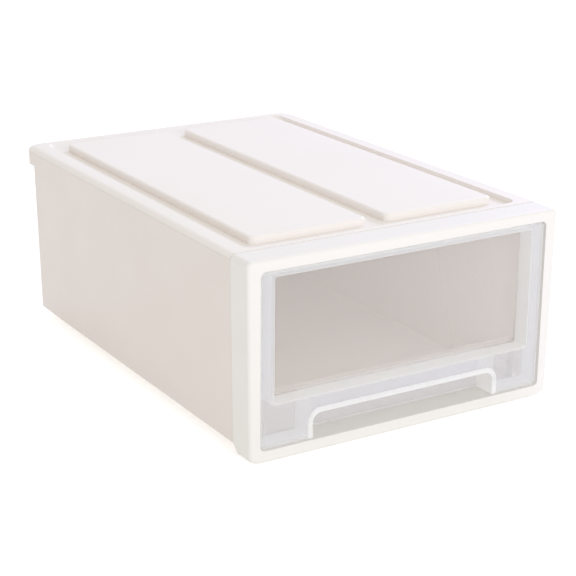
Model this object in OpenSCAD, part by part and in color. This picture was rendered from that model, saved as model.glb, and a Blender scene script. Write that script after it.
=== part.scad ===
// Stackable drawer box: a white moulded case with a clear pull-out drawer.
// Millimetres. Z is up, the front faces -Y, and the origin is the middle of the
// footprint on the rest plane. A depth "d" is measured back from the front face.

/* [Case] */
// Width over the front frame, at its top
case_width = 300; // [220:1:450]
// Depth from the front face to the back of the rear lip
case_depth = 424; // [280:1:600]
// Height from the rest plane to the top rim
case_height = 166.5; // [120:1:300]
// How far each side draws in from the front to the back
side_taper = 5; // [0:0.5:20]
// How far each side draws in from the rim down to the rest plane
side_draft = 2.5; // [0:0.5:8]
// How far the back wall leans forward from the rim down
back_draft = 3.5; // [0:0.5:12]
// Wall thickness of the case mouldings
wall = 2.5; // [1.5:0.1:4]
// Height of the lower edge of the side walls above the rest plane
side_lift = 11; // [6:0.5:20]
// Radius of the body's rear corners in plan
back_corner = 9; // [3:0.5:25]

/* [Rear lip] */
// How far the lip overhangs the back wall
lip_overhang = 13; // [4:0.5:20]
// Radius of the lip's and the cover's rear corners in plan
lip_corner = 12; // [3:0.5:25]
// Height of the lip below the parting line of the cover
lip_height = 12.5; // [8:0.5:30]

/* [Front frame] */
// Depth of the front frame, and of its foot band on the top
frame_depth = 26; // [16:0.5:40]
// Width of the frame's side bars
frame_side = 12; // [8:0.5:20]
// Height of the frame's top bar
frame_top = 9.8; // [7:0.1:20]
// Height of the frame's bottom bar
frame_bottom = 10.4; // [8:0.5:20]
// Radius of the frame's upper outer corners
frame_top_corner = 5; // [2:0.5:12]
// Height of the frame's lower outer corners
frame_low_corner = 6; // [2:0.5:16]
// Width of the frame's lower outer corners
frame_low_sweep = 13; // [2:0.5:24]
// Rounding of the frame's front edges
frame_round = 3; // [1:0.5:6]
// Radius of the opening's corners
opening_corner = 4.5; // [1:0.5:10]
// Length of the foot along the rest plane
foot_depth = 20.5; // [12:0.5:30]
// Radius of the fillet from the foot up to the side wall
foot_fillet = 7.5; // [2:0.5:9]
// How far the tongues of body and cover reach into the frame
tongue_reach = 10; // [5:0.5:16]

/* [Top cover] */
// Height of the parting line below the rim
cover_edge = 4.4; // [2.6:0.1:6]
// Width of the rounded outer edge of the cover
cover_round = 5.5; // [2:0.5:8]
// Distance from the outer face in to the well, at the sides
rim_side = 18.2; // [12:0.5:40]
// Width of the rim between the frame and the well
rim_front = 7; // [6:0.5:30]
// Width of the rim behind the well, where its rear wall starts to rise
rim_back = 18.5; // [14:0.5:30]
// How far the well's rear wall leans back
well_lean = 7; // [0:0.5:10]
// How far the well's other walls lean out
well_draft = 0.8; // [0.2:0.1:2]
// Depth of the well below the rim
well_depth = 4; // [3:0.5:10]
// Corner radius of the well
well_corner = 8; // [2:0.5:20]
// Rise of the two raised panels above the rim
panel_rise = 2.5; // [1:0.1:5]
// Width of the channel between the raised panels
channel_width = 18; // [10:0.5:50]
// Width of the trough at the outer sides of the panels
trough_side = 12.8; // [4:0.5:20]
// Width of the trough in front of the panels
trough_front = 15; // [4:0.5:30]
// Width of the trough behind the panels
trough_back = 10.5; // [4:0.5:30]
// Corner radius of the raised panels
panel_corner = 6; // [1:0.5:15]
// Rounding of the raised panels' top edges
panel_round = 2; // [0.5:0.1:2.4]

/* [Floor] */
// Height of the floor pan's underside, which rests on the panels of a box below
pan_height = 2.5; // [1.5:0.1:6]
// Distance from the outer face in to the pan
pan_side = 13; // [10:0.5:30]
// Width of the locating rib that runs round the pan
locating_rib = 3; // [2:0.5:5]
// Play between the locating rib and the panels below
locating_play = 0.8; // [0.4:0.1:2]
// Width of the key that drops into the channel below
key_width = 17; // [8:0.5:40]
// Distance between the two runner ribs
runner_gauge = 190; // [100:1:300]
// Width of a runner rib
runner_width = 4; // [2:0.5:8]
// Thickness of the ledges that the cover clips hold
catch_height = 3; // [1.5:0.5:5]
// Number of cover clips along each side
clip_count = 3; // [2:1:5]
// Length of a cover clip
clip_length = 22; // [10:1:40]

/* [Drawer] */
// Gap all round between the drawer front and the frame
drawer_gap = 1.3; // [0.6:0.1:3]
// How far the drawer front sits behind the face of the frame
drawer_inset = 1.5; // [0:0.5:5]
// Wall thickness of the drawer mouldings
drawer_wall = 2; // [1.2:0.1:3]
// Distance from the opening in to the side of the tub, at the front
tub_side = 8; // [5:0.5:20]
// How far each side of the tub draws in from front to back
tub_taper = 5; // [0:0.5:15]
// How far each side of the tub draws in from its rim to its floor
tub_draft = 4; // [0:0.5:10]
// Space between the back of the tub and the back wall of the case
tub_behind = 16; // [8:0.5:60]
// Distance from the opening's top down to the rim of the tub
tub_below = 7.4; // [3:0.1:30]
// Height of the tub above its runners
runner_play = 0.4; // [0.3:0.1:1]
// Corner radius at the back of the tub
tub_corner = 14; // [4:0.5:30]
// Width of the tub's rolled rim
tub_rim = 3; // [1.5:0.5:5]
// How far the drawer pulls out
drawer_travel = 325; // [150:1:400]

/* [Drawer front] */
// Width of the border beside the window
border_side = 12; // [8:0.5:20]
// Height of the border above the window
border_top = 4.6; // [4:0.1:15]
// Height of the ledge under the window, above the rest plane
ledge_height = 47.3; // [35:0.5:90]
// Depth of the window behind the drawer front
window_set = 15.5; // [8:0.5:25]
// Width of the finger opening
pull_width = 179; // [80:0.2:240]
// Height of the finger opening above the rest plane
pull_height = 32.4; // [22:0.5:50]
// Corner radius of the finger opening
pull_corner = 8; // [3:0.5:15]
// Depth of the pocket behind the finger opening
pocket_depth = 20; // [12:0.5:30]
// Width of the raised lip round the finger opening
pull_lip = 4; // [1:0.1:5]

/* [Hidden] */
case_white = [0.95, 0.93, 0.91];
cover_white = [0.95, 0.94, 0.95];
frame_white = [0.97, 0.95, 0.92];
tub_clear = [0.86, 0.87, 0.87, 0.45];
front_clear = [0.88, 0.89, 0.90, 0.55];

skin = 0.05;            // thickness of the plates that a loft is hulled from
arc_steps = 8;          // flats in a quarter round of an outline
loft_steps = 4;         // plates in a rounded edge
fit = 0.2;              // play between mouldings that clip together
over = 1;               // how far a cut runs past the face it opens
bond = 0.6;             // how far a rib or skirt is sunk in the wall that carries it

case_slope = side_taper / case_depth;
parting = case_height - cover_edge;
back_wall = case_depth - lip_overhang;
floor_top = pan_height + wall;
side_floor = side_lift + wall;
pan_back = back_wall - back_draft - wall;
opening_half = case_width / 2 - frame_side;
opening_top = case_height - frame_top;
tongue_low = side_floor + 1;
tongue_high = opening_top - 2 * frame_round;
tongue_in = wall + fit + case_slope * tongue_reach;
frame_skin = wall + 0.3;
band_drop = 0.5;

well_start = frame_depth + rim_front;
well_end = case_depth - rim_back;
panel_start = well_start + trough_front;
panel_end = well_end - trough_back;
panel_side = rim_side + trough_side;
well_floor = case_height - well_depth;
panel_top = case_height + panel_rise;
well_under = well_floor - wall;
skirt_foot = parting - 6;
ring_side = panel_side - locating_play - side_draft;

clip_foot = parting - 16;
clip_barb = 2.8;
clip_proud = 1.6;
clip_inset = wall + clip_proud + fit;
catch_low = clip_foot + clip_barb + fit;
clip_first = frame_depth + 60;
clip_last = back_wall - 60;

face = drawer_inset;
pane_back = face + window_set;
front_half = opening_half - drawer_gap;
front_low = frame_bottom + drawer_gap;
front_high = opening_top - drawer_gap;
window_half = opening_half - border_side - drawer_gap;
window_top = front_high - border_top;
skin_front = drawer_wall + 0.2;
pocket_back = face + pocket_depth;
pull_half = pull_width / 2;

tub_front = pane_back + fit;
border_back = tub_front + drawer_wall + 0.5;
tub_step = pocket_back + drawer_wall + fit;
tub_low = frame_bottom + runner_play;
tub_high = opening_top - tub_below;
tub_back = back_wall - wall - tub_behind;
tub_half = opening_half - tub_side;
tub_slope = tub_taper / (tub_back - tub_front);
step_height = ledge_height + fit;
flange_half = front_half - drawer_wall - fit * 2;
flange_low = front_low + drawer_wall + fit * 2;
flange_high = front_high - drawer_wall - fit * 2;
stop_depth = 5;
stop_front = frame_depth + drawer_travel + 0.5;
stop_half = runner_gauge / 2 + 16;

// Which node to draw

// Y of a depth behind the front face
function y_at(d) = d - case_depth / 2;

// Half width of the case's outer face at the front, at height z
function case_half(z) = case_width / 2 - side_draft * (1 - z / case_height);

// Depth of the back wall's outer face at height z
function back_at(z) = back_wall - back_draft * (1 - z / case_height);

// Half width of the tub's outer face, as if carried on to the front face
function tub_half_at(z) = tub_half + tub_slope * tub_front
    - tub_draft * (1 - (z - tub_low) / (tub_high - tub_low));

// One rounded corner: centre c, radius r, from angle a through a quarter turn
function corner(c, r, a) = r <= 0 ? [c] :
    [for (i = [0 : arc_steps]) c + r * [cos(a + 90 * i / arc_steps), sin(a + 90 * i / arc_steps)]];

// The frame's lower right corner, a quarter of an ellipse that ends on the side
function low_corner(w, h, z) =
    [for (i = [0 : arc_steps]) let (a = 90 * i / arc_steps) [w * (sin(a) - 1), z + h * (1 - cos(a))]];

// Outline in plan between depths d0 and d1, whose sides draw in by slope
function plan_outline(half, slope, d0, d1, r_front, r_back) =
    let (run = concat(corner([-r_front, d0 + r_front], r_front, -90),
                      corner([-r_back, d1 - r_back], r_back, 0)))
    let (right = [for (p = run) [half - slope * p[1] + p[0], y_at(p[1])]])
    concat(right, [for (i = [len(right) - 1 : -1 : 0]) [-right[i][0], right[i][1]]]);

// Outline in front view with upright sides
function front_outline(half, z0, z1, r) =
    concat(corner([half - r, z0 + r], r, -90), corner([half - r, z1 - r], r, 0),
           corner([r - half, z1 - r], r, 90), corner([r - half, z0 + r], r, 180));

// Outline of the frame in front view, which follows the sides' draft
function frame_outline(d, inset) =
    let (low = inset, high = case_height - band_drop - inset)
    let (rl = max(frame_low_corner - inset, 1), rs = max(frame_low_sweep - inset, 1))
    let (rt = max(frame_top_corner - inset, 1))
    let (run = concat(low_corner(rs, rl, low), corner([-rt, high - rt], rt, 0)))
    let (right = [for (p = run) [case_half(p[1]) - case_slope * d - inset + p[0], p[1]]])
    concat(right, [for (i = [len(right) - 1 : -1 : 0]) [-right[i][0], right[i][1]]]);

// A thin plate of the case's plan shape, pulled in by inset from its outer face
module case_plate(z, inset, d0, d1, r_front = 0, r_back = 0)
    translate([0, 0, z])
        linear_extrude(skin)
            polygon(plan_outline(case_half(z) - inset, case_slope, d0, d1, r_front, r_back));

// A block of the case's shape between two heights, its back on the back wall
module case_block(z0, z1, inset, d0, back_inset, r_back)
    hull() {
        case_plate(z0, inset, d0, back_at(z0) - back_inset, 0, r_back);
        case_plate(z1 - skin, inset, d0, back_at(z1) - back_inset, 0, r_back);
    }

// An upright slab of the case's plan shape, pulled in by inset from its outer face
module plan_slab(z0, z1, inset, d0, d1, r_front = 0, r_back = 0)
    translate([0, 0, z0])
        linear_extrude(z1 - z0)
            polygon(plan_outline(case_half(z1) - inset, case_slope, d0, d1, r_front, r_back));

// A rail along each side wall between two depths. Its profile is a list of points,
// each the distance in from the outer face and the height
module side_rails(profile, d0, d1)
    for (s = [0, 1])
        mirror([s, 0, 0])
            translate([case_half(0) - case_slope * d0, y_at(d0), 0])
                rotate([0, 0, atan(case_slope)])
                    rotate([90, 0, 0])
                        mirror([0, 0, 1])
                            linear_extrude(d1 - d0)
                                polygon([for (p = profile) [case_half(p[1]) - case_half(0) - p[0], p[1]]]);

// A prism along Y between two depths, with its outline in front view
module front_prism(outline, d0, d1)
    translate([0, y_at(d1), 0])
        rotate([90, 0, 0])
            mirror([0, 0, 1])
                translate([0, 0, d0 - d1])
                    linear_extrude(d1 - d0)
                        polygon(outline);

// A box given by its sides, its depths and its heights
module span_box(x0, x1, d0, d1, z0, z1)
    translate([x0, y_at(d0), z0])
        cube([x1 - x0, d1 - d0, z1 - z0]);

// ---------------------------------------------------------------- case body

// The lip's outer form, flush with the side walls
module lip_block(inset, z0, z1)
    hull()
        for (z = [z0, z1 - skin])
            case_plate(z, inset, back_wall - 4 * wall, case_depth - inset, 0, lip_corner - inset);

// Side walls, back wall and the hollow lip behind them
module body_shell()
    difference() {
        union() {
            case_block(side_lift, parting, 0, frame_depth, 0, back_corner);
            difference() {
                lip_block(0, parting - lip_height, parting);
                lip_block(wall, parting - lip_height - over, parting - wall);
            }
        }
        case_block(side_floor, parting + over, wall, frame_depth - over, wall, back_corner - wall);
        plan_slab(side_lift - over, side_floor + over, pan_side + wall / 2, frame_depth - over,
                  pan_back - wall / 2, 0, back_corner - wall);
    }

// The pan that the drawer runs over, hung from the side floor
module floor_pan()
    difference() {
        union() {
            plan_slab(pan_height, side_floor, pan_side, frame_depth, pan_back, 0, back_corner);
            span_box(-key_width / 2, key_width / 2, frame_depth, panel_end, 0, floor_top);
            locating_ring();
        }
        plan_slab(floor_top, side_floor + over, pan_side + wall, frame_depth - over,
                  pan_back - wall, 0, back_corner - wall);
        span_box(-key_width / 2 + wall, key_width / 2 - wall, frame_depth - over,
                 panel_end - wall, wall, floor_top + over);
    }

// The rib under the pan that fits round the raised panels of a box below
module locating_ring()
    difference() {
        plan_slab(0, pan_height + bond, ring_side - locating_rib, panel_start - locating_play - locating_rib,
                  panel_end + locating_play + locating_rib, panel_corner, panel_corner);
        plan_slab(-over, pan_height + over, ring_side, panel_start - locating_play,
                  panel_end + locating_play, panel_corner - 2, panel_corner - 2);
    }

// The two ribs that carry the drawer
module runner_ribs()
    for (s = [-1, 1])
        translate([s * runner_gauge / 2 - runner_width / 2, 0, 0])
            span_box(0, runner_width, frame_depth + fit, tub_back, floor_top - bond, frame_bottom);

// Tongues of the side walls and the pan, which the front frame slides over
module body_tongues() {
    side_rails([[tongue_in, tongue_low], [tongue_in, tongue_high],
                [tongue_in + 2, tongue_high], [tongue_in + 2, tongue_low]],
               frame_depth - tongue_reach, frame_depth + 2 * wall);
    side_rails([[wall / 2, tongue_low], [wall / 2, tongue_high],
                [tongue_in + bond, tongue_high], [tongue_in + bond, tongue_low]],
               frame_depth + fit, frame_depth + 2 * wall);
    span_box(-opening_half + 3 * wall, opening_half - 3 * wall,
             frame_depth - tongue_reach, frame_depth + wall, max(pan_height, wall) + fit, floor_top);
}

// Ledges on the side walls that the cover's clips hold under
module cover_catches()
    for (i = [0 : clip_count - 1])
        side_rails([[wall / 2, catch_low], [wall + clip_proud, catch_low],
                    [wall + clip_proud, catch_low + 1], [wall / 2, catch_low + catch_height]],
                   clip_at(i) - clip_length / 2, clip_at(i) + clip_length / 2);

// Two ribs on the back wall that stop the tub when the drawer is shut
module shut_stops()
    for (s = [-1, 1])
        translate([s * runner_gauge / 3 - runner_width / 2, 0, 0])
            span_box(0, runner_width, tub_back + tub_rim + 2 * fit, back_wall - wall,
                     tub_high - 20, tub_high - fit);

// Depth of the middle of clip number i
function clip_at(i) = clip_first + (clip_last - clip_first) * i / (clip_count - 1);

module case_body()
    color(case_white) {
        body_shell();
        floor_pan();
        runner_ribs();
        body_tongues();
        cover_catches();
        shut_stops();
    }

// -------------------------------------------------------------- front frame

// The frame's outer form, with rounded front edges
module frame_block()
    hull() {
        for (i = [0 : loft_steps])
            let (a = 90 * i / loft_steps)
                front_prism(frame_outline(0, frame_round * (1 - sin(a))),
                            frame_round * (1 - cos(a)), frame_round * (1 - cos(a)) + skin);
        front_prism(frame_outline(frame_depth, 0), frame_depth - skin, frame_depth);
    }

// The hollow in the bars, open to the rear, less the webs that cross it
module frame_channel()
    difference() {
        front_prism(frame_outline(frame_depth, wall), frame_skin, frame_depth + over);
        front_prism(front_outline(opening_half + wall, frame_bottom - wall, opening_top + wall,
                                  opening_corner + wall), 0, frame_depth + 2 * over);
        for (x = [-2 : 2])
            span_box(x * case_width / 6 - 1, x * case_width / 6 + 1, 0,
                     frame_depth - tongue_reach - 2, 0, case_height);
        for (z = [1 : 3])
            span_box(-case_width, case_width, 0, frame_depth - tongue_reach - 2,
                     case_height * z / 4 - 1, case_height * z / 4 + 1);
    }

// What is cut away behind the foot, with the fillet up to the side walls
module foot_relief()
    union() {
        span_box(-case_width, case_width, foot_depth, frame_depth + over, -over,
                 side_lift - foot_fillet);
        translate([-case_width, y_at(foot_depth + foot_fillet), side_lift - foot_fillet])
            rotate([0, 90, 0])
                cylinder(r = foot_fillet, h = 2 * case_width, $fn = 64);
    }

module front_frame()
    color(frame_white)
        difference() {
            frame_block();
            front_prism(front_outline(opening_half, frame_bottom, opening_top, opening_corner),
                        -over, frame_depth + over);
            frame_channel();
            foot_relief();
        }

// ---------------------------------------------------------------- top cover

// The rim plate with its rounded outer edge, hollow beneath
module cover_rim()
    difference() {
        hull()
            for (i = [0 : loft_steps])
                let (a = 90 * i / loft_steps)
                    case_plate(parting + (cover_edge - skin) * sin(a), cover_round * (1 - cos(a)),
                               frame_depth + fit, case_depth - cover_round * (1 - cos(a)),
                               0, lip_corner);
        plan_slab(parting - over, case_height - wall, wall + fit, frame_depth + wall,
                  well_end, 0, back_corner);
    }

// Walls and floor of the sunk well that the panels stand in
module cover_well()
    plan_slab(well_under, case_height - wall + bond, rim_side - wall, well_start - wall,
              min(well_end + wall, back_at(well_under) - wall - fit), well_corner + wall, well_corner + wall);

// A thin plate of the well's plan shape at a height above its floor. Its walls lean out
module well_plate(rise)
    let (grow = well_draft * rise / well_depth, lean = well_lean * rise / well_depth)
        case_plate(well_floor + rise, rim_side - grow, well_start - grow, well_end + lean,
                   well_corner + grow, well_corner + grow);

// The hollow of the well
module well_hollow()
    hull() {
        well_plate(0);
        well_plate(well_depth + over);
    }

// Outline of the raised panel on the right, pulled in by inset
function panel_outline(inset) =
    let (far = case_half(panel_top) - panel_side - inset, near = channel_width / 2 + inset)
    let (d0 = panel_start + inset, d1 = panel_end - inset, r = max(panel_corner - inset, 1))
    concat([for (p = concat(corner([far - r, d0 + r], r, -90), corner([far - r, d1 - r], r, 0)))
                [p[0] - case_slope * p[1], y_at(p[1])]],
           corner([near + r, y_at(d1 - r)], r, 90), corner([near + r, y_at(d0 + r)], r, 180));

// Both raised panels, with their top edges rounded
module raised_panels()
    for (s = [0, 1])
        mirror([s, 0, 0])
            hull() {
                translate([0, 0, well_under])
                    linear_extrude(skin)
                        polygon(panel_outline(0));
                for (i = [0 : loft_steps])
                    let (a = 90 * i / loft_steps)
                        translate([0, 0, panel_top - skin - panel_round * (1 - sin(a))])
                            linear_extrude(skin)
                                polygon(panel_outline(panel_round * (1 - cos(a))));
            }

// The hollows under the raised panels
module panel_hollows()
    for (s = [0, 1])
        mirror([s, 0, 0])
            translate([0, 0, well_under - over])
                linear_extrude(panel_top - wall - well_under + over)
                    polygon(panel_outline(wall));

// Skirts that drop inside the side walls of the body
module cover_skirts()
    side_rails([[wall + 1.5 * fit, skirt_foot], [2 * wall, skirt_foot],
                [2 * wall, case_height - wall + bond], [wall + 1.5 * fit, case_height - wall + bond]],
               frame_depth + wall, panel_end);

// Clips that hook under the ledges of the side walls
module cover_clips()
    for (i = [0 : clip_count - 1])
        side_rails([[clip_inset, clip_foot], [clip_inset + 2, clip_foot],
                    [clip_inset + 2, case_height - wall + bond], [clip_inset, case_height - wall + bond],
                    [clip_inset, catch_low - fit], [wall + 2 * fit, catch_low - fit]],
                   clip_at(i) - clip_length / 2 + 2, clip_at(i) + clip_length / 2 - 2);

// Front tongue that slides into the frame's top bar
module cover_tongue()
    difference() {
        plan_slab(opening_top + wall + fit, case_height - wall + bond, 3 * wall,
                  frame_depth - tongue_reach, frame_depth + 2 * wall);
        span_box(-case_width, case_width, 0, frame_depth + fit,
                 case_height - band_drop - wall - fit, case_height);
    }

module top_cover()
    color(cover_white) {
        difference() {
            union() {
                difference() {
                    union() {
                        cover_rim();
                        cover_well();
                    }
                    well_hollow();
                }
                raised_panels();
            }
            panel_hollows();
        }
        cover_skirts();
        cover_clips();
        cover_tongue();
    }

// --------------------------------------------------------------- drawer tub

// A block of the tub's shape; its back leans as the sides do
module tub_block(z0, z1, inset, d0, back_inset, r_back)
    hull()
        for (z = [z0, z1 - skin])
            translate([0, 0, z])
                linear_extrude(skin)
                    polygon(plan_outline(tub_half_at(z) - inset, tub_slope, d0,
                        tub_back - back_inset - tub_draft * (tub_high - z) / (tub_high - tub_low),
                        0, r_back));

// A block as wide as the tub between two upright faces across it
module tub_slice(z0, z1, inset, d0, d1)
    hull()
        for (z = [z0, z1 - skin])
            translate([0, 0, z])
                linear_extrude(skin)
                    polygon(plan_outline(tub_half_at(z) - inset, tub_slope, d0, d1, 0, 0));

// The tub with its hollow; the lower front is set back for the finger pocket
module tub_shell()
    difference() {
        tub_block(tub_low, tub_high, 0, tub_front, 0, tub_corner);
        tub_block(tub_low + drawer_wall, tub_high + over, drawer_wall, tub_step + drawer_wall,
                  drawer_wall, tub_corner - drawer_wall);
        tub_slice(step_height + drawer_wall, tub_high + over, drawer_wall,
                  tub_front + drawer_wall, 2 * tub_step);
        tub_slice(tub_low - over, step_height, drawer_wall, tub_front - over, tub_step);
        span_box(-case_width, case_width, tub_front - over, border_back + fit,
                 tub_low - over, flange_low);
    }

// Rolled rim round the sides and the back
module tub_rim_ring()
    difference() {
        tub_block(tub_high - drawer_wall, tub_high, -tub_rim, tub_front, -tub_rim,
                  tub_corner + tub_rim);
        tub_block(tub_high - drawer_wall - over, tub_high + over, drawer_wall / 2,
                  tub_front - over, drawer_wall / 2, tub_corner);
    }

// Flange round the window that nests in the drawer front
module tub_flange()
    difference() {
        front_prism(front_outline(flange_half, flange_low, flange_high, opening_corner),
                    tub_front, tub_front + drawer_wall);
        span_box(-tub_half_at(0) + drawer_wall, tub_half_at(0) - drawer_wall,
                 tub_front - over, tub_front + drawer_wall + over, flange_low - over, step_height);
    }

// Lugs on the flange that snap into the slots of the drawer front
module flange_lugs(grow)
    for (s = [-1, 1]) {
        span_box(s * (flange_half - 1) - 2.2 - grow, s * (flange_half - 1) + 2.2 + grow,
                 tub_front + 0.3 - grow, tub_front + drawer_wall + grow - 0.3,
                 case_height / 2 - 6 - grow, case_height / 2 + 6 + grow);
        span_box(s * window_half / 2 - 6 - grow, s * window_half / 2 + 6 + grow,
                 tub_front + 0.3 - grow, tub_front + drawer_wall + grow - 0.3,
                 flange_high - 1 - grow, flange_high + 1.2 + grow);
    }

// Nibs under the tub that meet the frame's bottom bar at full travel
module travel_stops()
    for (s = [-1, 1])
        span_box(s * stop_half - 3, s * stop_half + 3, stop_front, stop_front + stop_depth,
                 floor_top + 2, tub_low + drawer_wall / 2);

module drawer_tub()
    color(tub_clear) {
        tub_shell();
        tub_rim_ring();
        tub_flange();
        flange_lugs(0);
        travel_stops();
    }

// ------------------------------------------------------------- drawer front

// The finger opening's outline, open below the drawer front
function pull_outline(grow) =
    let (h = pull_half + grow, top = pull_height + grow, r = pull_corner + grow, low = front_low - 2 * over)
    concat([[-h, low], [h, low]], corner([h - r, top - r], r, 0), corner([r - h, top - r], r, 90));

// Face plate, border wall and the walls round the window
module front_face()
    difference() {
        front_prism(front_outline(front_half, front_low, front_high, opening_corner - 0.5),
                    face, border_back);
        front_prism(front_outline(front_half - drawer_wall, front_low + drawer_wall,
                                  front_high - drawer_wall, opening_corner - 1),
                    face + skin_front, tub_front + 2 * drawer_wall);
        front_prism(front_outline(window_half, ledge_height, window_top, 2), face - over,
                    tub_front + over);
    }

// The walls that lead back to the window, with the ledge as their lower side
module window_reveal()
    difference() {
        front_prism(front_outline(window_half + drawer_wall, ledge_height - drawer_wall,
                                  window_top + drawer_wall, 3), face + 1, pane_back);
        front_prism(front_outline(window_half, ledge_height, window_top, 2), face - over,
                    pane_back + over);
    }

// The pocket that the fingers go into, open below; grow adds its walls
module finger_pocket(grow)
    span_box(-pull_half - fit - grow, pull_half + fit + grow, face + skin_front - grow / 2,
             pocket_back + grow, front_low - (grow > 0 ? 0 : over), ledge_height - drawer_wall + grow);

// Raised lip round the finger opening
module pull_rim()
    difference() {
        front_prism(pull_outline(pull_lip), face - 0.8, face + skin_front);
        span_box(-case_width, case_width, face - over, face + skin_front + over, 0, front_low);
    }

module drawer_front()
    color(front_clear)
        difference() {
            union() {
                front_face();
                window_reveal();
                finger_pocket(drawer_wall);
                pull_rim();
            }
            finger_pocket(0);
            front_prism(pull_outline(0), face - 2 * over, face + skin_front + over);
            flange_lugs(0.3);
        }

case_body();
front_frame();
top_cover();
drawer_tub();
drawer_front();
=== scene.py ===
"""A stackable drawer box: a white moulded case with a clear pull-out drawer."""

from __future__ import annotations

import logging
import math
from dataclasses import dataclass, field
from enum import Enum

import bpy
from mathutils import Matrix, Vector


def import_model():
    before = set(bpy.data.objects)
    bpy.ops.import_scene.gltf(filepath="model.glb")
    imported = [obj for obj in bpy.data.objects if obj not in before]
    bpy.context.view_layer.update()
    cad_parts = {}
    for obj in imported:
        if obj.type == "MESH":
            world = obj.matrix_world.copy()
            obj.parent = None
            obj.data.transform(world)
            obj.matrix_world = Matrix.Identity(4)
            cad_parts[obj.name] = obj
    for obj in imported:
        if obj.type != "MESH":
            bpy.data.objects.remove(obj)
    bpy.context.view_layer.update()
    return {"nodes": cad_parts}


log = logging.getLogger("drawer_box")

MM = 0.001
Colour = tuple[float, float, float]
Place = tuple[float, float, float]
Span = tuple[float, float]
WHITE: Colour = (1.0, 1.0, 1.0)

# The curve of display colours: straight up to the toe, then a power.
TOE = 0.04045
TOE_SLOPE = 12.92
CURVE_OFFSET = 0.055
CURVE_POWER = 2.4

# Most of a noise pattern lies in this range.
PATTERN_RANGE: Span = (0.3, 0.7)

# How far the rounded normal agrees with the plain one, where an edge starts and where it is full.
EDGE_RANGE: Span = (0.995, 0.75)
EDGE_SAMPLES = 6

# How far a face looks to the front, where it is fully a side and where it is one no more.
SIDE_RANGE: Span = (0.1, 0.6)
GROOVE_SAMPLES = 8


class Pattern(Enum):
    """The noise patterns: features per metre, finer layers and how strong those are."""

    CLOUDS = (7.0, 3.0, 0.5)
    FLOW = (30.0, 4.0, 0.5)
    SINKS = (22.0, 2.0, 0.5)
    GRAIN = (2600.0, 2.0, 0.6)
    RIPPLES = (26.0, 2.0, 0.5)
    HAZE = (18.0, 3.0, 0.5)


@dataclass(frozen=True)
class Relief:
    """A fine unevenness of a moulded face: its pattern, its strength up to 1 and its full height."""

    pattern: Pattern
    strength: float
    height: float


SINK_MARKS = Relief(Pattern.SINKS, 0.2, 0.2 * MM)
MOULD_GRAIN = Relief(Pattern.GRAIN, 0.12, 0.05 * MM)
RIPPLES = Relief(Pattern.RIPPLES, 0.2, 0.3 * MM)


def linear(colour: Colour) -> tuple[float, float, float, float]:
    """Turns a display colour into the linear colour that a shader takes.

    Args:
        colour: Red, green and blue from 0 to 1 as a screen shows them.

    Returns:
        The linear colour with an alpha of 1.
    """
    parts = [
        c / TOE_SLOPE if c <= TOE else ((c + CURVE_OFFSET) / (1.0 + CURVE_OFFSET)) ** CURVE_POWER
        for c in colour
    ]
    return (parts[0], parts[1], parts[2], 1.0)


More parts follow.
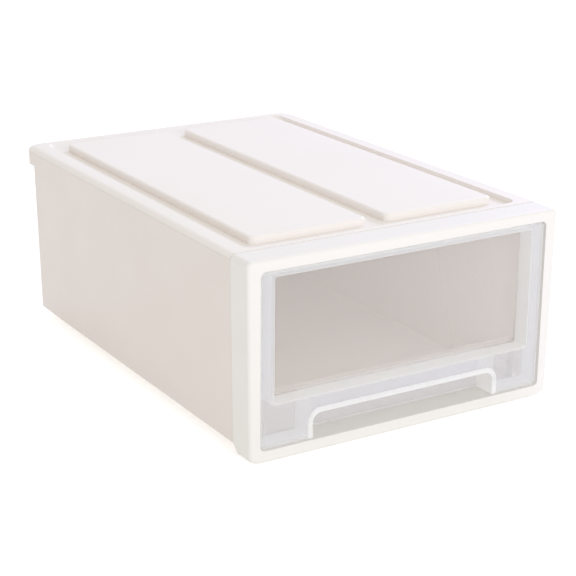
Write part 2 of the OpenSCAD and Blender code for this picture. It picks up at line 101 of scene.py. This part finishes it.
class Nodes:
    """A short hand for building one material's node tree."""

    def __init__(self, name: str) -> None:
        """Makes an empty material.

        Args:
            name: The material's name.
        """
        self.material = bpy.data.materials.new(name)
        self.material.use_nodes = True
        self.start(self.material.node_tree, "ShaderNodeOutputMaterial")

    @classmethod
    def of_tree(cls, tree: bpy.types.NodeTree, output: str) -> Nodes:
        """Takes a tree that is already there, such as the world's.

        Args:
            tree: The node tree.
            output: The type of its output node.

        Returns:
            The helper for that tree.
        """
        nodes = cls.__new__(cls)
        nodes.start(tree, output)
        return nodes

    def start(self, tree: bpy.types.NodeTree, output: str) -> None:
        """Empties a tree and gives it its output node.

        Args:
            tree: The node tree.
            output: The type of its output node.
        """
        self.tree = tree
        self.tree.nodes.clear()
        self.output = self.tree.nodes.new(output)

    def add(self, kind: str, **settings: object) -> bpy.types.Node:
        """Adds a node and sets its properties.

        Args:
            kind: The node's type.
            **settings: Properties to set on the node.

        Returns:
            The new node.
        """
        node = self.tree.nodes.new(kind)
        for key, value in settings.items():
            setattr(node, key, value)
        return node

    def link(self, source: bpy.types.NodeSocket, target: bpy.types.NodeSocket) -> None:
        """Joins an output to an input."""
        self.tree.links.new(source, target)

    def noise(self, pattern: Pattern) -> bpy.types.NodeSocket:
        """Adds a noise pattern in the object's own space.

        Args:
            pattern: The pattern.

        Returns:
            The pattern's factor, around one half.
        """
        place = self.add("ShaderNodeTexCoord")
        noise = self.add("ShaderNodeTexNoise")
        for name, value in zip(("Scale", "Detail", "Roughness"), pattern.value):
            noise.inputs[name].default_value = value
        self.link(place.outputs["Object"], noise.inputs["Vector"])
        return noise.outputs["Fac"]

    def ramp(
        self,
        value: bpy.types.NodeSocket,
        start: Span,
        end: Span,
        **settings: object,
    ) -> bpy.types.NodeSocket:
        """Maps one range of a value to another, and holds it at the ends.

        Args:
            value: The value.
            start: The range that it comes in.
            end: The range that it goes out in.
            **settings: Properties to set on the node.

        Returns:
            The mapped value.
        """
        node = self.add("ShaderNodeMapRange", **settings)
        for name, limit in zip(("From Min", "From Max", "To Min", "To Max"), (*start, *end)):
            node.inputs[name].default_value = limit
        self.link(value, node.inputs["Value"])
        return node.outputs["Result"]

    def spread(self, pattern: Pattern, low: float, high: float) -> bpy.types.NodeSocket:
        """Adds a pattern and maps its middle range to a range of values.

        Args:
            pattern: The pattern.
            low: What the low end of its middle range becomes.
            high: What the high end becomes.

        Returns:
            The mapped value.
        """
        return self.ramp(self.noise(pattern), PATTERN_RANGE, (low, high))

    def bump(self, normal: bpy.types.NodeSocket, relief: Relief) -> bpy.types.NodeSocket:
        """Adds a fine unevenness to a normal.

        Args:
            normal: The normal to start from.
            relief: The unevenness.

        Returns:
            The bumped normal.
        """
        bump = self.add("ShaderNodeBump")
        bump.inputs["Strength"].default_value = relief.strength
        bump.inputs["Distance"].default_value = relief.height
        self.link(self.noise(relief.pattern), bump.inputs["Height"])
        self.link(normal, bump.inputs["Normal"])
        return bump.outputs["Normal"]

    def soft_edges(self, radius: float) -> bpy.types.NodeSocket:
        """Adds a normal that rounds the piece's sharp edges.

        Args:
            radius: The edges' radius in metres.

        Returns:
            The rounded normal.
        """
        bevel = self.add("ShaderNodeBevel", samples=EDGE_SAMPLES)
        bevel.inputs["Radius"].default_value = radius
        return bevel.outputs["Normal"]

    def edge_light(self, rounded: bpy.types.NodeSocket) -> bpy.types.NodeSocket:
        """Finds how near a point is to an edge, for a milkier veil, a painted highlight and a
        painted glow.

        Args:
            rounded: The normal from soft_edges.

        Returns:
            A factor, 0 on open faces and 1 on the edges.
        """
        plain = self.add("ShaderNodeNewGeometry")
        turn = self.add("ShaderNodeVectorMath", operation="DOT_PRODUCT")
        self.link(rounded, turn.inputs[0])
        self.link(plain.outputs["Normal"], turn.inputs[1])
        return self.ramp(turn.outputs["Value"], EDGE_RANGE, (0.0, 1.0))

    def shelter(self, reach: float) -> bpy.types.NodeSocket:
        """Finds how much of its surroundings a point of a recess doesn't see.

        Args:
            reach: How far away a wall still counts, in metres.

        Returns:
            A factor, 0 in the open and near 1 far down a recess, where painted shade can go.
        """
        sky = self.add("ShaderNodeAmbientOcclusion", samples=GROOVE_SAMPLES, only_local=True)
        sky.inputs["Distance"].default_value = reach
        return self.math("SUBTRACT", 1.0, sky.outputs["AO"])

    def along_depth(self, coordinate: str) -> bpy.types.NodeSocket:
        """Takes the part along Y of one of the piece's own coordinates.

        Args:
            coordinate: Object for a point's place, or Normal for where its face looks.

        Returns:
            The part along Y.
        """
        place = self.add("ShaderNodeTexCoord")
        parts = self.add("ShaderNodeSeparateXYZ")
        self.link(place.outputs[coordinate], parts.inputs[0])
        return parts.outputs["Y"]

    def in_front_of(self, depth: float, fading: float) -> bpy.types.NodeSocket:
        """Finds what stands in front of a plane that faces the front.

        Args:
            depth: The plane's place along Y in metres.
            fading: Over how many metres the factor falls off.

        Returns:
            A factor, 1 in front of the plane and 0 behind it.
        """
        return self.ramp(self.along_depth("Object"), (depth - fading, depth), (1.0, 0.0))

    def sheet_sides(self) -> bpy.types.NodeSocket:
        """Finds the faces that don't look to the front, such as an upright sheet's narrow sides.

        Returns:
            A factor, 1 on the sides and 0 on the sheet's front and back.
        """
        turned = self.math("ABSOLUTE", self.along_depth("Normal"), 0.0)
        return self.ramp(turned, SIDE_RANGE, (1.0, 0.0), interpolation_type="SMOOTHSTEP")

    def mix(
        self,
        factor: bpy.types.NodeSocket,
        first: Colour | bpy.types.NodeSocket,
        second: Colour | bpy.types.NodeSocket,
    ) -> bpy.types.NodeSocket:
        """Mixes two colours.

        Args:
            factor: How much of the second colour shows.
            first: A display colour, or a colour from other nodes.
            second: A display colour, or a colour from other nodes.

        Returns:
            The mixed colour.
        """
        mix = self.add("ShaderNodeMix", data_type="RGBA")
        self.link(factor, mix.inputs["Factor"])
        for name, colour in (("A", first), ("B", second)):
            socket = next(i for i in mix.inputs if i.name == name and i.type == "RGBA")
            if isinstance(colour, bpy.types.NodeSocket):
                self.link(colour, socket)
            else:
                socket.default_value = linear(colour)
        return next(o for o in mix.outputs if o.type == "RGBA")

    def math(
        self,
        operation: str,
        first: bpy.types.NodeSocket | float,
        second: bpy.types.NodeSocket | float,
    ) -> bpy.types.NodeSocket:
        """Joins two values by one operation.

        Args:
            operation: The operation.
            first: A value, or a number.
            second: A value, or a number.

        Returns:
            The outcome, kept between 0 and 1.
        """
        node = self.add("ShaderNodeMath", operation=operation, use_clamp=True)
        for socket, value in zip(node.inputs, (first, second)):
            if isinstance(value, bpy.types.NodeSocket):
                self.link(value, socket)
            else:
                socket.default_value = value
        return node.outputs[0]

    def seen_plainly(self) -> bpy.types.NodeSocket:
        """Finds the rays that show the background: the camera's, mirrored and clear ones.

        Returns:
            A factor, 1 for those rays and 0 for the ones that only carry light.
        """
        path = self.add("ShaderNodeLightPath")
        direct = self.math("ADD", path.outputs["Is Camera Ray"], path.outputs["Is Glossy Ray"])
        return self.math("ADD", direct, path.outputs["Is Transmission Ray"])

    def show_mixed(
        self,
        factor: bpy.types.NodeSocket,
        first: bpy.types.NodeSocket,
        second: bpy.types.NodeSocket,
    ) -> None:
        """Mixes two shaders and shows the outcome.

        Args:
            factor: How much of the second shader shows.
            first: The first shader.
            second: The second shader.
        """
        mix = self.add("ShaderNodeMixShader")
        for source, target in zip((factor, first, second), mix.inputs):
            self.link(source, target)
        self.link(mix.outputs["Shader"], self.output.inputs["Surface"])


@dataclass(frozen=True)
class MouldedPlastic:
    """White polypropylene, satin from a textured mould.

    A faint painted glow, an emission in the second tone, stands in for the light that passes through
    a thin wall.
    """

    name: str
    colour: Colour
    shade: Colour
    roughness: float = 0.45
    uneven_gloss: float = 0.05
    refraction: float = 1.49
    # The glow strength below is a painted glow, and the recess colour after it is painted shade.
    painted_glow_strength: float = 0.0
    painted_groove_shade: Colour | None = None
    painted_shade_reach: float = 14 * MM
    edge: float = 0.6 * MM

    def build(self) -> bpy.types.Material:
        """Builds the material.

        Returns:
            The material.
        """
        n = Nodes(self.name)
        skin = n.add("ShaderNodeBsdfPrincipled")
        colour = n.mix(n.spread(Pattern.CLOUDS, 0.0, 1.0), self.colour, self.shade)
        # Painted shade: walls and floors of recesses that see little of their surroundings, but not
        # faces that look to the front, take a darker, warmer colour.
        if self.painted_groove_shade is not None:
            painted_shade_mask = n.math("MULTIPLY", n.shelter(self.painted_shade_reach), n.sheet_sides())
            colour = n.mix(painted_shade_mask, colour, self.painted_groove_shade)
        n.link(colour, skin.inputs["Base Color"])
        gloss = (self.roughness - self.uneven_gloss, self.roughness + self.uneven_gloss)
        n.link(n.spread(Pattern.FLOW, *gloss), skin.inputs["Roughness"])
        skin.inputs["IOR"].default_value = self.refraction
        # Painted glow: a faint emission lifts every face, standing in for light that passes through
        # the thin wall.
        skin.inputs["Emission Color"].default_value = linear(self.shade)
        skin.inputs["Emission Strength"].default_value = self.painted_glow_strength
        normal = n.bump(n.soft_edges(self.edge), SINK_MARKS)
        n.link(n.bump(normal, MOULD_GRAIN), skin.inputs["Normal"])
        n.link(skin.outputs["BSDF"], n.output.inputs["Surface"])
        return n.material


@dataclass(frozen=True)
class ClearPlastic:
    """Clear, slightly milky moulded plastic.

    Each face adds a thin veil, but lets most of the light through to what lies behind. The veil
    is thicker at a glancing look, and on the edges and narrow sides, which also get a painted
    highlight in their colour and a painted glow. What stands proud of the sheet, in front of a
    plane across the depth, counts as a side too.
    """

    name: str
    veil: Colour
    painted_glow: Colour
    milk: float
    rim_milk: float
    edge_milk: float = 0.8
    # The edge and side light strengths below set a painted glow, an emission with no lamp.
    edge_light: float = 0.0
    side_milk: float = 0.0
    painted_side_glow: float = 0.0
    held_light: float = 0.05
    tint: Colour = (0.9915, 0.9912, 0.9915)
    proud: float = -1.0
    proud_fading: float = 0.3 * MM
    proud_share: float = 0.85
    glance: float = 0.3
    gloss: Span = (0.16, 0.25)
    refraction: float = 1.5
    edge: float = 0.8 * MM

    def build(self) -> bpy.types.Material:
        """Builds the material.

        Returns:
            The material.
        """
        n = Nodes(self.name)
        normal = n.soft_edges(self.edge)
        edges = n.edge_light(normal)
        proud = n.math("MULTIPLY", n.in_front_of(self.proud, self.proud_fading), self.proud_share)
        sides = n.math("MAXIMUM", n.sheet_sides(), proud)
        skin = self.skin(n, normal, edges, sides)
        clear = n.add("ShaderNodeBsdfTransparent")
        n.link(n.mix(n.seen_plainly(), WHITE, self.tint), clear.inputs["Color"])
        n.show_mixed(self.cover(n, edges, sides), clear.outputs["BSDF"], skin)
        return n.material

    def skin(
        self,
        n: Nodes,
        normal: bpy.types.NodeSocket,
        edges: bpy.types.NodeSocket,
        sides: bpy.types.NodeSocket,
    ) -> bpy.types.NodeSocket:
        """Builds the milky surface.

        Args:
            n: The material's nodes.
            normal: The normal with rounded edges.
            edges: How far a point is an edge.
            sides: How far a point is a side.

        Returns:
            The surface's shader.
        """
        skin = n.add("ShaderNodeBsdfPrincipled")
        skin.inputs["IOR"].default_value = self.refraction
        # Painted highlight: edges and sides take the lighter second colour.
        painted_highlight_mask = n.math("MAXIMUM", edges, sides)
        n.link(n.mix(painted_highlight_mask, self.veil, self.painted_glow), skin.inputs["Base Color"])
        n.link(n.bump(normal, RIPPLES), skin.inputs["Normal"])
        n.link(n.spread(Pattern.HAZE, *self.gloss), skin.inputs["Roughness"])
        # Painted glow on the edges and sides.
        skin.inputs["Emission Color"].default_value = linear(self.painted_glow)
        lit_sides = n.math("MULTIPLY", sides, self.painted_side_glow)
        lit_edges = n.math("MULTIPLY", edges, self.edge_light)
        n.link(n.math("MAXIMUM", lit_sides, lit_edges), skin.inputs["Emission Strength"])
        return skin.outputs["BSDF"]

    def cover(
        self,
        n: Nodes,
        edges: bpy.types.NodeSocket,
        sides: bpy.types.NodeSocket,
    ) -> bpy.types.NodeSocket:
        """Finds how much the milky surface covers what lies behind it.

        Args:
            n: The material's nodes.
            edges: How far a point is an edge.
            sides: How far a point is a side.

        Returns:
            The share that is covered, small for rays that only carry light.
        """
        facing = n.add("ShaderNodeLayerWeight")
        facing.inputs["Blend"].default_value = self.glance
        haze = n.ramp(facing.outputs["Facing"], (0.0, 1.0), (self.milk, self.rim_milk))
        edge_haze = n.math("MULTIPLY", edges, self.edge_milk)
        side_haze = n.math("MULTIPLY", sides, self.side_milk)
        haze = n.math("MAXIMUM", haze, n.math("MAXIMUM", edge_haze, side_haze))
        return n.math("MULTIPLY", haze, n.math("MAXIMUM", n.seen_plainly(), self.held_light))


@dataclass(frozen=True)
class Smoothing:
    """Rounds the shading over the flats of a moulding's curves, and leaves its flat faces flat."""

    seam: float = 0.08 * MM
    sharp_degrees: float = 32.0

    def group(self) -> bpy.types.NodeTree:
        """Builds the node group that marks sharp edges by their angle.

        Returns:
            The node group, made once and then shared.
        """
        name = "smooth_curves"
        if name in bpy.data.node_groups:
            return bpy.data.node_groups[name]
        tree = bpy.data.node_groups.new(name, "GeometryNodeTree")
        for way in ("INPUT", "OUTPUT"):
            tree.interface.new_socket("Geometry", in_out=way, socket_type="NodeSocketGeometry")
        start = tree.nodes.new("NodeGroupInput")
        plain = tree.nodes.new("GeometryNodeRemoveAttribute")
        plain.inputs["Name"].default_value = "custom_normal"
        faces = tree.nodes.new("GeometryNodeSetShadeSmooth")
        faces.domain = "FACE"
        angle = tree.nodes.new("GeometryNodeInputMeshEdgeAngle")
        gentle = tree.nodes.new("FunctionNodeCompare")
        gentle.data_type = "FLOAT"
        gentle.operation = "LESS_THAN"
        gentle.inputs[1].default_value = math.radians(self.sharp_degrees)
        edges = tree.nodes.new("GeometryNodeSetShadeSmooth")
        edges.domain = "EDGE"
        end = tree.nodes.new("NodeGroupOutput")
        for source, target in (
            (start.outputs[0], plain.inputs["Geometry"]),
            (plain.outputs["Geometry"], faces.inputs["Geometry"]),
            (angle.outputs["Unsigned Angle"], gentle.inputs[0]),
            (faces.outputs["Geometry"], edges.inputs["Geometry"]),
            (gentle.outputs[0], edges.inputs["Shade Smooth"]),
            (edges.outputs["Geometry"], end.inputs[0]),
        ):
            tree.links.new(source, target)
        return tree

    def apply(self, piece: bpy.types.Object) -> None:
        """Adds the modifiers to a piece.

        Args:
            piece: The piece to smooth.
        """
        seam = piece.modifiers.new("seams", "WELD")
        seam.merge_threshold = self.seam
        piece.modifiers.new("curves", "NODES").node_group = self.group()
        flats = piece.modifiers.new("flats", "WEIGHTED_NORMAL")
        flats.keep_sharp = True


@dataclass
class Moulding:
    """One moulded piece of the box, dressed in its finish."""

    node: str
    finish: MouldedPlastic | ClearPlastic

    def dress(self, nodes: dict[str, bpy.types.Object]) -> bpy.types.Object:
        """Gives the piece its finish and smooth rounded edges.

        Args:
            nodes: The frame's pieces by name.

        Returns:
            The dressed piece.
        """
        piece = nodes[self.node]
        material = self.finish.build()
        for slot in piece.material_slots:
            slot.material = material
        Smoothing().apply(piece)
        return piece


@dataclass
class Assembly:
    """Mouldings that belong together."""

    mouldings: list[Moulding]

    def dress(self, nodes: dict[str, bpy.types.Object]) -> None:
        """Dresses the mouldings one by one and reports each.

        Args:
            nodes: The frame's pieces by name.
        """
        for moulding in self.mouldings:
            piece = moulding.dress(nodes)
            log.info("%s: %d faces", piece.name, len(piece.data.polygons))


# The case, frame and cover are one white plastic; the case's white is set darker than the others as
# painted shade for its shaded sides.
CASE_WHITE = MouldedPlastic(
    "case_white",
    (0.893, 0.873, 0.855),
    (0.887, 0.866, 0.845),
    painted_glow_strength=0.06,
)
FRAME_WHITE = MouldedPlastic(
    "frame_white",
    (0.93, 0.93, 0.922),
    (0.923, 0.923, 0.915),
    roughness=0.5,
    painted_glow_strength=0.04,
)
COVER_WHITE = MouldedPlastic(
    "cover_white",
    (0.962, 0.951, 0.94),
    (0.957, 0.946, 0.932),
    # Painted shade for the troughs and channels of the top.
    painted_groove_shade=(0.905, 0.873, 0.835),
)
TUB_CLEAR = ClearPlastic(
    "tub_clear",
    (0.94, 0.925, 0.92),
    (0.97, 0.965, 0.96),
    milk=0.2,
    rim_milk=0.5,
)
# The front's edges, narrow sides and what stands proud of its sheet carry a painted glow and a
# painted highlight.
FRONT_CLEAR = ClearPlastic(
    "front_clear",
    (0.88, 0.89, 0.92),
    (0.965, 0.975, 0.98),
    milk=0.25,
    rim_milk=0.5,
    edge_milk=0.85,
    edge_light=0.3,
    side_milk=0.6,
    painted_side_glow=0.155,
    proud=-210.7 * MM,
)


@dataclass
class Case(Assembly):
    """The white case: body, front frame and top cover."""

    mouldings: list[Moulding] = field(
        default_factory=lambda: [
            Moulding("case_body", CASE_WHITE),
            Moulding("front_frame", FRAME_WHITE),
            Moulding("top_cover", COVER_WHITE),
        ]
    )


@dataclass
class Drawer(Assembly):
    """The clear drawer: tub and front."""

    mouldings: list[Moulding] = field(
        default_factory=lambda: [
            Moulding("drawer_tub", TUB_CLEAR),
            Moulding("drawer_front", FRONT_CLEAR),
        ]
    )


@dataclass(frozen=True)
class Lamp:
    """A square soft lamp that faces the box, with its power in watts and a linear colour."""

    name: str
    place: Place
    size: float
    watts: float
    colour: Colour
    target: Place = (0.0, 0.0, 0.08)

    def hang(self) -> None:
        """Hangs the lamp in its place and turns it to the box."""
        data = bpy.data.lights.new(self.name, "AREA")
        data.shape = "SQUARE"
        data.size = self.size
        data.energy = self.watts
        data.color = self.colour
        lamp = bpy.data.objects.new(self.name, data)
        lamp.location = self.place
        aim = Vector(self.target) - Vector(self.place)
        lamp.rotation_mode = "QUATERNION"
        lamp.rotation_quaternion = aim.to_track_quat("-Z", "Y")
        bpy.context.scene.collection.objects.link(lamp)


@dataclass
class Studio:
    """A white studio: floor, soft lamps, pale surroundings and the camera.

    The colours of the air and of the floor's paper are linear. The floor lies just under the
    box's feet.
    """

    eye: Place = (-0.75466, -1.23971, 0.54954)
    aim: Place = (-0.02037, -0.06159, 0.08121)
    roll_degrees: float = 0.5215
    lens: float = 105.458
    sensor: float = 36.0
    clip: Span = (0.05, 50.0)
    floor_half: float = 6.0
    floor_drop: float = 0.4 * MM
    paper: Colour = (0.96, 0.955, 0.95)
    paper_glow: float = 0.46
    air: Colour = (1.0, 0.965, 0.925)
    air_strength: float = 0.79
    clear_bounces: int = 32
    diffuse_bounces: int = 8
    lamps: list[Lamp] = field(
        default_factory=lambda: [
            Lamp("key_lamp", (1.72, 0.78, 1.05), 0.5, 11.8, (0.96, 0.97, 1.6)),
            Lamp("front_lamp", (0.12, -2.05, 0.95), 1.5, 11.9, (0.99, 0.985, 1.005)),
        ]
    )

    def camera(self) -> None:
        """Sets up the camera where the photograph was taken from."""
        data = bpy.data.cameras.new("camera")
        data.lens = self.lens
        data.sensor_width = self.sensor
        data.clip_start, data.clip_end = self.clip
        camera = bpy.data.objects.new("camera", data)
        bpy.context.scene.collection.objects.link(camera)
        look = Vector(self.aim) - Vector(self.eye)
        turn = look.to_track_quat("-Z", "Y").to_matrix().to_4x4()
        roll = Matrix.Rotation(math.radians(self.roll_degrees), 4, "Z")
        camera.matrix_world = Matrix.Translation(self.eye) @ turn @ roll
        bpy.context.scene.camera = camera

    def floor(self) -> None:
        """Lays the pale floor, which shows white and keeps the shadow."""
        half = self.floor_half
        mesh = bpy.data.meshes.new("floor")
        corners = [(-half, -half, 0), (half, -half, 0), (half, half, 0), (-half, half, 0)]
        mesh.from_pydata(corners, [], [(0, 1, 2, 3)])
        floor = bpy.data.objects.new("floor", mesh)
        floor.location.z = -self.floor_drop
        bpy.context.scene.collection.objects.link(floor)
        n = Nodes("floor_paper")
        paper = n.add("ShaderNodeBsdfDiffuse")
        paper.inputs["Color"].default_value = (*self.paper, 1.0)
        glow = n.add("ShaderNodeEmission")
        glow.inputs["Strength"].default_value = self.paper_glow
        both = n.add("ShaderNodeAddShader")
        n.link(paper.outputs["BSDF"], both.inputs[0])
        n.link(glow.outputs["Emission"], both.inputs[1])
        n.show_mixed(n.seen_plainly(), paper.outputs["BSDF"], both.outputs["Shader"])
        mesh.materials.append(n.material)

    def surroundings(self) -> None:
        """Makes the pale surroundings, plain white where the camera looks."""
        world = bpy.data.worlds.new("studio")
        bpy.context.scene.world = world
        world.use_nodes = True
        n = Nodes.of_tree(world.node_tree, "ShaderNodeOutputWorld")
        light = n.add("ShaderNodeBackground")
        light.inputs["Color"].default_value = (*self.air, 1.0)
        light.inputs["Strength"].default_value = self.air_strength
        white = n.add("ShaderNodeBackground")
        white.inputs["Color"].default_value = (*WHITE, 1.0)
        n.show_mixed(n.seen_plainly(), light.outputs["Background"], white.outputs["Background"])

    def build(self) -> None:
        """Builds the whole studio."""
        self.camera()
        self.floor()
        self.surroundings()
        for lamp in self.lamps:
            lamp.hang()
            log.info("%s: %.1f W", lamp.name, lamp.watts)
        bpy.context.scene.view_settings.view_transform = "Standard"
        bpy.context.scene.cycles.transparent_max_bounces = self.clear_bounces
        bpy.context.scene.cycles.diffuse_bounces = self.diffuse_bounces


def main() -> None:
    """Dresses the box and builds the studio."""
    logging.basicConfig(level=logging.INFO, format="%(message)s")
    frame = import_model()
    Case().dress(frame["nodes"])
    Drawer().dress(frame["nodes"])
    Studio().build()
    bpy.context.view_layer.update()


if __name__ == "__main__":
    main()
